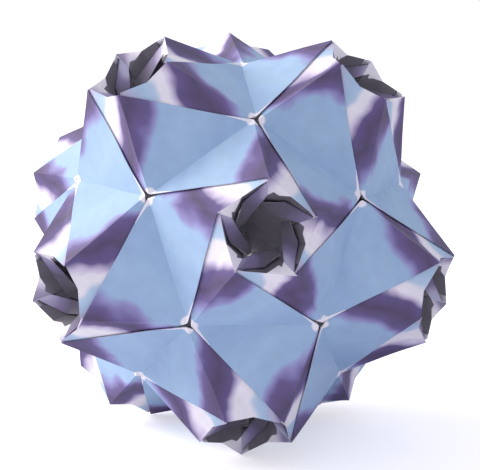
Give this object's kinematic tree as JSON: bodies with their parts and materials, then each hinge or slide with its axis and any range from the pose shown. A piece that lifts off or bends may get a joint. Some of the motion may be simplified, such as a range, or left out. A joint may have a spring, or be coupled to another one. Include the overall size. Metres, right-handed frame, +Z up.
{
  "type": "kusudama paper ball",
  "caption": "Hollow decorative ball of interlocking folded paper units, with raised five-sided craters whose rims whirl inwards.",
  "frame": {"origin": "centre of the bounding box at the level of the surface that the ball stands on", "axes": "+Z up through the dimple on top, which is a three-fold axis of the ball; a crater faces -Y, a little above the ball's middle; +X to the right seen from the front"},
  "size_m": [0.1222, 0.1312, 0.1197],
  "materials": {
    "printed_paper": "matt paper printed in sky blue, purple and white"
  },
  "bodies": {
    "root": {"unit_01": "printed_paper", "unit_02": "printed_paper", "unit_03": "printed_paper", "unit_04": "printed_paper", "unit_05": "printed_paper", "unit_06": "printed_paper", "unit_07": "printed_paper", "unit_08": "printed_paper", "unit_09": "printed_paper", "unit_10": "printed_paper", "unit_11": "printed_paper", "unit_12": "printed_paper", "unit_13": "printed_paper", "unit_14": "printed_paper", "unit_15": "printed_paper", "unit_16": "printed_paper", "unit_17": "printed_paper", "unit_18": "printed_paper", "unit_19": "printed_paper", "unit_20": "printed_paper", "unit_21": "printed_paper", "unit_22": "printed_paper", "unit_23": "printed_paper", "unit_24": "printed_paper", "unit_25": "printed_paper", "unit_26": "printed_paper", "unit_27": "printed_paper", "unit_28": "printed_paper", "unit_29": "printed_paper", "unit_30": "printed_paper"}
  },
  "joints": []
}
